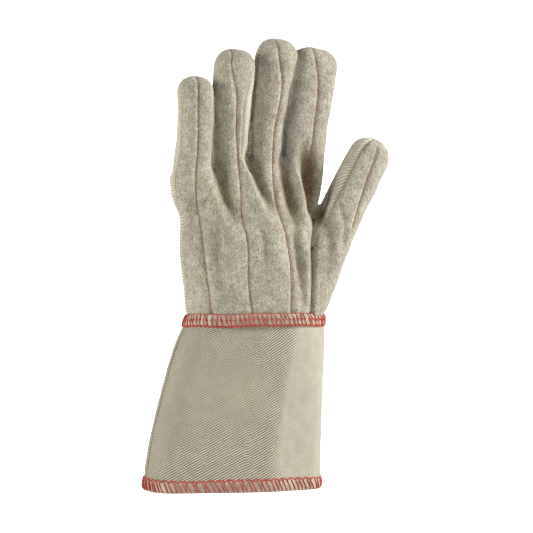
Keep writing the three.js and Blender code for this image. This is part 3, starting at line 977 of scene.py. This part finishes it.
def bound_edges():
    """The threads of the hem and of the wrist seam, each stroke a little off its place."""
    hem, wrist = BANDS["cuff_hem"], BANDS["wrist_seam"]
    rng = np.random.default_rng(8)
    length = hem["arc"][1][-1]
    count = round(length / HEM_PITCH)
    peaks = np.arange(count) * length / count
    hem_threads = [
        strokes(hem, peaks + 2.1 + rng.normal(0, 0.25, count), run=4.8, low=1.04, high=0.0),
        strokes(hem, peaks + 5.3 + rng.normal(0, 0.3, count), run=4.4, low=0.96, high=0.0),
        along_edge(hem, HEM_PITCH, base=0.9, sway=0.16, lift=0.25),
    ]
    length = wrist["arc"][1][-1]
    count = round(length / WRIST_PITCH)
    places = np.arange(count) * length / count
    wrist_threads = []
    for start, run, low, high in ((0.0, 2.9, 1.0, 0.42), (0.1, 3.4, 0.68, 0.04)):
        starts = places + start + rng.normal(0, 0.4, count)
        runs = rng.normal(run, 0.4, count)
        wrist_threads.append(strokes(wrist, starts, runs, low, high, radius=0.44))
    wrist_threads += [
        along_edge(wrist, WRIST_PITCH, base=0.01, sway=0.09, lift=0.3, radius=0.62, per_pitch=6),
        along_edge(wrist, WRIST_PITCH, base=0.97, sway=0.05, lift=0.05, radius=0.34, per_pitch=6),
    ]
    return joined(hem_threads), joined(wrist_threads)


hem_parts, wrist_parts = bound_edges()
hem_thread = mesh_of("hem_thread", *hem_parts)
wrist_thread = mesh_of("wrist_thread", *wrist_parts)
for obj in (hem_thread, wrist_thread):
    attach(obj, "root")
    print(obj.name, len(obj.data.polygons), "faces")

# %% [markdown]
# ## Quilting stitches
#
# A lockstitch shows as short dashes that dive into the cloth at both ends. Each dash is a thin tube of a
# few dozen faces. Rays are shot at the pressed panels to find the cloth's height under every point of every
# dash, so the stitches lie in the bottom of their grooves.

# %% Stitches along the quilting lines
STITCH_PITCH = 3.2  # mm, and each stitch is as long
STITCH_RADIUS = 0.23
STITCH_POINTS = 5
STITCH_PROUD, STITCH_DIVE = 0.12, 0.16  # mm, a dash's height over the cloth and how far its ends go down
DEEP_STEP = 2.5  # mm, a dash that falls more than this between two points spans a gap and is left out


def cloth_trees():
    """One search tree over the pressed outer surfaces of all panels."""
    points, faces = joined([(p, f.tolist()) for p, f in surfaces.values()])
    return BVHTree.FromPolygons(points.tolist(), faces)


def stitches(rows, side, tree):
    """Dashes along one line. side is -1 in front and 1 at the back."""
    low, high = rows["z"][0], rows["z"][-1]
    length = np.hypot(np.gradient(rows["x"], rows["z"]).mean(), 1) * (high - low)
    count = int(length / STITCH_PITCH)
    middles = np.linspace(low, high, count)
    t = np.linspace(-0.5, 0.5, STITCH_POINTS)
    z = middles[:, None] + STITCH_PITCH * t * (high - low) / length
    x = value_at(rows, "x", z)
    inwards = Vector((0, -side, 0))
    hits = [tree.ray_cast(Vector((a, 80 * side, c)), inwards) for a, c in zip(x.ravel(), z.ravel())]
    good = np.array([h[0] is not None for h in hits]).reshape(z.shape).all(axis=1)
    place = np.array([tuple(h[0] or (0, 0, 0)) for h in hits]).reshape(*z.shape, 3)[good]
    normal = np.array([tuple(h[1] or (0, side, 0)) for h in hits]).reshape(*z.shape, 3)[good]
    normal = np.repeat(normal.mean(axis=1, keepdims=True), STITCH_POINTS, axis=1)
    smooth = np.abs(np.diff(place[..., 1], axis=1)).max(axis=1) < DEEP_STEP
    place, normal = place[smooth], normal[smooth]
    place += normal * (STITCH_PROUD - STITCH_DIVE * (2 * t) ** 6)[None, :, None]
    return tubes(place, normal, STITCH_RADIUS)


tree = cloth_trees()
parts = [stitches(rows, -1, tree) for rows in QUILTING.values()]
parts += [stitches(rows, 1, tree) for rows in BACK_QUILTING.values()]
quilting = mesh_of("quilting_stitches", *joined(parts))
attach(quilting, "root")
print("stitch faces:", len(quilting.data.polygons))

# %% [markdown]
# ## Cloth and thread
#
# Three effects are shared: a twill weave, a nap of loose fibres and the uneven tone of unbleached cotton.
# Each is a node group that gives a colour mask or a height. The materials mix them with their own values,
# so the back's coarse twill and the cuff's fine one are the same group with another pitch and slant.

# %% Node helpers
def rgb(red, green, blue):
    """Linear colour from the 0 to 255 values seen on a screen."""
    value = np.array([red, green, blue]) / 255
    return (*np.where(value <= 0.04045, value / 12.92, ((value + 0.055) / 1.055) ** 2.4), 1)


def add(tree, kind, sockets=(), **settings):
    """A node with its settings, and its inputs as numbers, colours or other nodes' outputs."""
    node = tree.nodes.new(kind)
    for name, value in settings.items():
        setattr(node, name, value)
    for key, value in dict(sockets).items():
        if isinstance(value, bpy.types.NodeSocket):
            tree.links.new(value, node.inputs[key])
        else:
            node.inputs[key].default_value = value
    return node


def maths(tree, operation, *values):
    return add(tree, "ShaderNodeMath", enumerate(values), operation=operation).outputs[0]


def times(tree, first, second):
    return maths(tree, "MULTIPLY", first, second)


def plus(tree, first, second):
    return maths(tree, "ADD", first, second)


def scaled(tree, value, factor, start):
    return maths(tree, "MULTIPLY_ADD", value, factor, start)


def mixed(tree, share, first, second, blend="MIX"):
    """Colour mix: socket 0 is the share, 6 and 7 are the two colours, and output 2 is the result."""
    sockets = {0: share, 6: first, 7: second}
    return add(tree, "ShaderNodeMix", sockets, data_type="RGBA", blend_type=blend).outputs[2]


def spread(tree, value, low, high, to_low=0.0, to_high=1.0):
    """The value, with low to high spread over to_low to to_high and held there."""
    limits = {"From Min": low, "From Max": high, "To Min": to_low, "To Max": to_high}
    return add(tree, "ShaderNodeMapRange", {"Value": value, **limits}).outputs[0]


def noise(tree, place, scale, detail=2.0, roughness=0.5):
    settings = {"Scale": scale, "Detail": detail, "Roughness": roughness}
    return add(tree, "ShaderNodeTexNoise", {"Vector": place, **settings}).outputs[0]


def stretched(tree, place, share):
    """Place with its height shrunk to a share of itself, which draws a pattern out upwards."""
    return add(tree, "ShaderNodeMapping", {"Vector": place, "Scale": (1, 1, share)}).outputs[0]


def group(name, inputs, outputs):
    """Empty node group with named sockets, and its input and output nodes."""
    tree = bpy.data.node_groups.new(name, "ShaderNodeTree")
    for label, kind, value in inputs:
        socket = tree.interface.new_socket(label, in_out="INPUT", socket_type=kind)
        if value is not None:
            socket.default_value = value
    for label, kind in outputs:
        tree.interface.new_socket(label, in_out="OUTPUT", socket_type=kind)
    return tree, tree.nodes.new("NodeGroupInput").outputs, tree.nodes.new("NodeGroupOutput").inputs


FLOAT, COLOUR, VECTOR = "NodeSocketFloat", "NodeSocketColor", "NodeSocketVector"


# %% Shared effects
def twill_group():
    """Diagonal ribs. Across the ribs the height is 1 - |2f - 1|^2.6 with f the fraction of a rib passed,
    and along them each yarn swells once in its own length. The pattern's place comes in metres."""
    tree, given, out = group(
        "twill weave",
        [("Place", VECTOR, None), ("Pitch", FLOAT, 0.0015), ("Rise", FLOAT, 0.6), ("Yarn", FLOAT, 0.0012)],
        [("Height", FLOAT), ("Valley", FLOAT)],
    )
    wander = noise(tree, given["Place"], 260, 2)
    parts = add(tree, "ShaderNodeSeparateXYZ", {0: given["Place"]}).outputs
    sine, cosine = maths(tree, "SINE", given["Rise"]), maths(tree, "COSINE", given["Rise"])
    across = maths(tree, "SUBTRACT", times(tree, parts[1], cosine), times(tree, parts[0], sine))
    along = plus(tree, times(tree, parts[0], cosine), times(tree, parts[1], sine))
    ribs = plus(tree, maths(tree, "DIVIDE", across, given["Pitch"]), times(tree, wander, 0.25))
    passed = maths(tree, "FRACT", ribs)
    number = maths(tree, "FLOOR", ribs)
    fold = maths(tree, "ABSOLUTE", scaled(tree, passed, 2.0, -1.0))
    rib = maths(tree, "SUBTRACT", 1.0, maths(tree, "POWER", fold, 2.6))
    beads = plus(tree, maths(tree, "DIVIDE", along, given["Yarn"]), times(tree, number, 0.37))
    bead = scaled(tree, maths(tree, "COSINE", times(tree, beads, 2 * math.pi)), 0.5, 0.5)
    height = times(tree, rib, scaled(tree, bead, 0.3, 0.7))
    narrowed = plus(tree, fold, scaled(tree, bead, -0.36, 0.18))
    tree.links.new(height, out["Height"])
    tree.links.new(spread(tree, narrowed, 0.3, 0.85), out["Valley"])
    return tree


def nap_group():
    """Brushed cotton: tufts a few millimetres wide, combed streaks and single fibres, from three noises."""
    tree, given, out = group(
        "brushed nap",
        [("Place", VECTOR, None), ("Tufts", FLOAT, 640.0), ("Streaks", FLOAT, 0.35)],
        [("Tone", FLOAT), ("Height", FLOAT)],
    )
    tufts = noise(tree, stretched(tree, given["Place"], 0.8), given["Tufts"], 3, 0.6)
    streaks = noise(tree, stretched(tree, given["Place"], 0.2), 900, 2, 0.6)
    fibres = noise(tree, given["Place"], 1500, 2, 0.6)
    mixed_streaks = times(tree, maths(tree, "SUBTRACT", streaks, 0.5), given["Streaks"])
    fine = plus(tree, mixed_streaks, scaled(tree, fibres, 1.3, -0.65))
    tree.links.new(plus(tree, scaled(tree, tufts, 0.6, 0.2), fine), out["Tone"])
    tree.links.new(times(tree, plus(tree, tufts, fibres), 0.5), out["Height"])
    return tree


def tone_group():
    """Unbleached cotton is never even: broad warm and cool patches, and darker specks of seed husk. It also
    darkens the colour as painted shade in the hollows of folds and seams.
    """
    tree, given, out = group(
        "unbleached cotton",
        [
            ("Place", VECTOR, None),
            ("Colour", COLOUR, (1, 1, 1, 1)),
            ("Hollow", FLOAT, 0.0),
            ("Patches", FLOAT, 1.0),
        ],
        [("Colour", COLOUR)],
    )
    broad = spread(tree, noise(tree, given["Place"], 26, 2), 0.3, 0.7)
    patch = mixed(tree, broad, rgb(238, 232, 226), rgb(255, 252, 238))
    small = spread(tree, noise(tree, given["Place"], 150, 2), 0.35, 0.68)
    patch = mixed(tree, small, mixed(tree, 1.0, patch, rgb(230, 228, 220), "MULTIPLY"), patch)
    result = mixed(tree, given["Patches"], given["Colour"], patch, "MULTIPLY")
    # painted shade: in the hollows the colour is darkened towards a brown grey
    result = mixed(tree, given["Hollow"], result, mixed(tree, 1.0, result, rgb(186, 174, 150), "MULTIPLY"))
    specks = spread(tree, noise(tree, given["Place"], 620, 1), 0.74, 0.8, 0.0, 0.55)
    tree.links.new(mixed(tree, specks, result, rgb(120, 98, 62)), out["Colour"])
    return tree


TWILL, NAP, TONE = twill_group(), nap_group(), tone_group()


def use(tree, which, **values):
    """Outputs of a shared group with these inputs."""
    return add(tree, "ShaderNodeGroup", values, node_tree=which).outputs


# %% Materials
def surface(name, values):
    """New material with these values in its shader, its node tree and that shader."""
    made = bpy.data.materials.new(name)
    made.use_nodes = True
    shader = made.node_tree.nodes["Principled BSDF"]
    for label, value in values.items():
        shader.inputs[label].default_value = value
    return made, made.node_tree, shader


SPECULAR, FUZZ_ROUGHNESS = 0.2, 0.45  # cotton shines little, and its fuzz is matt


def material(name, colour, height, depth, roughness, sheen):
    """Cloth or thread: colour and height are functions of the material's node tree, and depth is in mm."""
    fuzz = {"Sheen Weight": sheen, "Sheen Roughness": FUZZ_ROUGHNESS}
    made, tree, shader = surface(name, {"Roughness": roughness, "Specular IOR Level": SPECULAR, **fuzz})
    tree.links.new(colour(tree), shader.inputs["Base Color"])
    bump = add(tree, "ShaderNodeBump", {"Strength": 1.0, "Distance": depth * MM, "Height": height(tree)})
    tree.links.new(bump.outputs[0], shader.inputs["Normal"])
    return made


def object_place(tree):
    return add(tree, "ShaderNodeTexCoord").outputs["Object"]


def mark(tree, name):
    """A number that some pieces have at each point, 0 in the others. One is painted shade in the hollows of
    folds and in sunk seams; the other marks the side of the cuff that faces the main light, where the ribs
    are painted smooth and even, as that light washes them out."""
    return add(tree, "ShaderNodeAttribute", attribute_name=name).outputs["Fac"]


def cloth_place(tree):
    return add(tree, "ShaderNodeUVMap", uv_map="weave").outputs[0]


def plain_cloth(name, light, dark, spread_over, tufts, tufts_high, depth, roughness, sheen):
    """Cloth whose weave the nap hides, from dark to light over a range of the nap's tone. tufts are for its
    colour, and tufts_high for its height."""
    def colour(tree):
        place = object_place(tree)
        tone = spread(tree, use(tree, NAP, Place=place, Tufts=tufts)["Tone"], *spread_over)
        cloth = mixed(tree, tone, dark, light)
        return use(tree, TONE, Place=place, Colour=cloth, Hollow=mark(tree, "hollow"))["Colour"]

    def height(tree):
        return use(tree, NAP, Place=object_place(tree), Tufts=tufts_high)["Height"]

    return material(name, colour, height, depth, roughness, sheen)


LIT_SIDE_COLOUR = rgb(175, 171, 158)  # painted light: the twill's even, paler colour on the cuff's side that faces the main light, where that light washes the ribs out
LIT_SIDE_SHARE = 0.92  # how much of the ribs' colour and relief is smoothed away on that lit side


def twill(name, pitch, rise, yarn, light, dark, shade, depth, fuzz):
    """Ribs pitch mm apart that rise by an angle in degrees, in yarns of some length. shade is how dark the
    valleys are, depth how deep they are in mm, and fuzz how much the nap hides."""
    def weave(tree):
        sizes = {"Pitch": pitch * MM, "Rise": math.radians(rise), "Yarn": yarn * MM}
        return use(tree, TWILL, Place=cloth_place(tree), **sizes)

    def colour(tree):
        place = object_place(tree)
        valley = times(tree, weave(tree)["Valley"], shade)
        yarns = spread(tree, use(tree, NAP, Place=place, Tufts=760.0)["Tone"], 0.25, 0.75, 0.0, 1.0)
        body = mixed(tree, times(tree, yarns, fuzz), light, mixed(tree, 0.5, light, dark))
        # painted light: where the side faces the main light, the ribs' colour gives way to one even, paler
        # colour
        smooth = times(tree, mark(tree, "pressed"), LIT_SIDE_SHARE)
        cloth = mixed(tree, smooth, mixed(tree, valley, body, dark), LIT_SIDE_COLOUR)
        return use(tree, TONE, Place=place, Colour=cloth, Hollow=mark(tree, "hollow"), Patches=0.5)["Colour"]

    def height(tree):
        nap = use(tree, NAP, Place=object_place(tree), Tufts=900.0)["Height"]
        ribs = times(tree, weave(tree)["Height"], scaled(tree, mark(tree, "pressed"), -LIT_SIDE_SHARE, 1.0))
        return plus(tree, ribs, times(tree, nap, fuzz))

    return material(name, colour, height, depth, 0.9, 0.12)


def red_thread(name, light, dark):
    def colour(tree):
        place = object_place(tree)
        return mixed(tree, spread(tree, noise(tree, place, 700, 3, 0.7), 0.3, 0.7), dark, light)

    def height(tree):
        return noise(tree, object_place(tree), 3500, 2)

    return material(name, colour, height, 0.2, 0.6, 0.1)


FLANNEL = plain_cloth(
    "brushed_flannel", rgb(206, 203, 196), rgb(134, 130, 117), (0.27, 0.73), 640.0, 640.0, 0.6, 0.95, 0.25
)
BACK_TWILL = twill("coarse_twill", 1.9, 38, 1.5, rgb(220, 214, 197), rgb(116, 108, 88), 0.5, 0.6, 0.3)
CUFF_TWILL = twill("fine_twill", 1.73, 31, 1.8, rgb(221, 214, 195), rgb(80, 72, 53), 0.65, 1.6, 0.1)
STRIP_TWILL = twill("soft_twill", 1.7, 31, 1.2, rgb(222, 218, 203), rgb(126, 119, 100), 0.5, 0.6, 0.5)
EDGE = plain_cloth(
    "edge_cloth", rgb(216, 213, 203), rgb(170, 166, 155), (0.3, 0.7), 900.0, 1200.0, 0.5, 0.92, 0.15
)
OVERLOCK = red_thread("overlock_thread", rgb(200, 82, 68), rgb(150, 46, 36))
QUILT_THREAD = red_thread("quilting_thread", rgb(186, 92, 80), rgb(140, 60, 52))
dressed = {
    palm: (FLANNEL, "napped_flannel"),
    thumb: (FLANNEL, "napped_flannel"),
    strip: (STRIP_TWILL, "cuff_twill"),
    back_outer: (BACK_TWILL, "twill"),
    back_inner: (BACK_TWILL, "twill"),
    cuff: (CUFF_TWILL, "cuff_twill"),
    bands["wrist_seam"]: (EDGE, "overlocked_edge"),
    bands["cuff_hem"]: (EDGE, "overlocked_edge"),
    hem_thread: (OVERLOCK, "overlocked_edge"),
    wrist_thread: (OVERLOCK, "overlocked_edge"),
    quilting: (QUILT_THREAD, "overlocked_edge"),
}
for obj, (cloth, slot) in dressed.items():
    obj.data.materials.append(cloth)
print("materials:", ", ".join(sorted({cloth.name for cloth, slot in dressed.values()})))

# %% [markdown]
# ## Floor, light and camera
#
# The glove stands on a pale floor that rises into a backdrop in one soft bend. The main light is a large
# soft panel high on the thumb side, nearly in line with the cloth, so that folds and ribs show. A weaker
# one on the little finger's side, a weak one in front and the pale room fill the shade. The camera looks
# level, from a little on the little finger's side. Colours are shown as they are lit, with clean whites as
# in a catalogue picture.

# %% Floor and backdrop
FLOOR_GLOW = 1.0  # what the camera sees of the floor glows, so that it stays white
ROOM_LIGHT = 0.14  # strength of the light from all round


def studio_floor():
    """A sheet whose section is flat, then a quarter circle, then upright, carried straight to both
    sides."""
    bend, back, reach = 0.9, 1.3, 6.0
    turn = np.linspace(0, np.pi / 2, 20)
    y = np.concatenate([[-reach], back + bend * np.sin(turn), [back + bend]])
    z = np.concatenate([[0], bend - bend * np.cos(turn), [reach]])
    x = np.array([-reach, reach])
    points = np.stack([np.tile(x, len(y)), np.repeat(y, 2), np.repeat(z, 2) - 0.0002], axis=1)
    first = np.arange(len(y) - 1) * 2
    faces = np.stack([first, first + 1, first + 3, first + 2], axis=1)
    mesh = bpy.data.meshes.new("floor")
    mesh.from_pydata(points.tolist(), [], faces.tolist())
    mesh.shade_smooth()
    obj = in_scene("floor", mesh)
    paint, tree, shader = surface("pale_floor", {"Roughness": 0.9, "Specular IOR Level": 0.1})
    cloudy = spread(tree, noise(tree, object_place(tree), 2.0, 2), 0.3, 0.7, 0.95, 0.97)
    grey = add(tree, "ShaderNodeCombineColor", {0: cloudy, 1: cloudy, 2: cloudy}).outputs[0]
    tree.links.new(grey, shader.inputs["Base Color"])
    glow = add(tree, "ShaderNodeEmission", {"Strength": FLOOR_GLOW})
    seen = add(tree, "ShaderNodeLightPath").outputs["Is Camera Ray"]
    both = add(tree, "ShaderNodeAddShader", {0: shader.outputs[0], 1: glow.outputs[0]})
    only = add(tree, "ShaderNodeMixShader", {0: seen, 1: shader.outputs[0], 2: both.outputs[0]})
    tree.links.new(only.outputs[0], tree.nodes["Material Output"].inputs["Surface"])
    obj.data.materials.append(paint)


studio_floor()

# %% Camera
VIEW_TURN = math.radians(-14)
VIEW_RISE = math.radians(-0.5)
VIEW_DISTANCE = 1.6
PICTURE_WIDTH, PIXEL = 533, 0.770  # pixels, and mm a pixel at the glove
AIM_SIDE, AIM_HEIGHT = 0.026, 0.1695  # metres, from the pattern's middle to the thumb side, and up
aim = Vector((SHIFT[0] * MM + AIM_SIDE, 0, AIM_HEIGHT))


def aimed(name, data, place, look):
    """Camera or light at a place that looks along a direction."""
    obj = in_scene(name, data)
    obj.location = place
    obj.rotation_mode = "QUATERNION"
    obj.rotation_quaternion = look.to_track_quat("-Z", "Y")
    return obj


def placed_camera():
    """Camera on a circle round the glove, with a long lens so that the glove fills the picture as in a
    catalogue."""
    level = math.cos(VIEW_RISE)
    away = Vector((math.sin(VIEW_TURN) * level, -math.cos(VIEW_TURN) * level, math.sin(VIEW_RISE)))
    data = bpy.data.cameras.new("camera")
    data.lens = data.sensor_width / (PICTURE_WIDTH * PIXEL * MM) * VIEW_DISTANCE
    bpy.context.scene.camera = aimed("camera", data, aim + away * VIEW_DISTANCE, -away)


placed_camera()


# %% Lights and room
LIT = Vector((0, 0, 0.17))  # what the lights point at


def area_light(name, place, size, power):
    data = bpy.data.lights.new(name, "AREA")
    data.shape = "RECTANGLE"
    data.size, data.size_y = size
    data.energy = power
    aimed(name, data, place, LIT - Vector(place))


area_light("key_light", (1.6, -0.57, 1.08), (0.5, 0.6), 46)
area_light("fill_light", (-1.78, -0.2, 0.6), (0.6, 0.7), 26)
area_light("front_light", (0.5, -1.9, 1.0), (1.2, 0.8), 10)

world = bpy.data.worlds.new("studio")
bpy.context.scene.world = world
world.use_nodes = True
background = world.node_tree.nodes["Background"]
background.inputs["Color"].default_value = (0.97, 0.98, 1.0, 1)
camera_ray = add(world.node_tree, "ShaderNodeLightPath").outputs["Is Camera Ray"]
room = spread(world.node_tree, camera_ray, 0, 1, ROOM_LIGHT, FLOOR_GLOW + 0.2)
world.node_tree.links.new(room, background.inputs["Strength"])
bpy.context.scene.view_settings.view_transform = "Standard"  # a catalogue picture's clean whites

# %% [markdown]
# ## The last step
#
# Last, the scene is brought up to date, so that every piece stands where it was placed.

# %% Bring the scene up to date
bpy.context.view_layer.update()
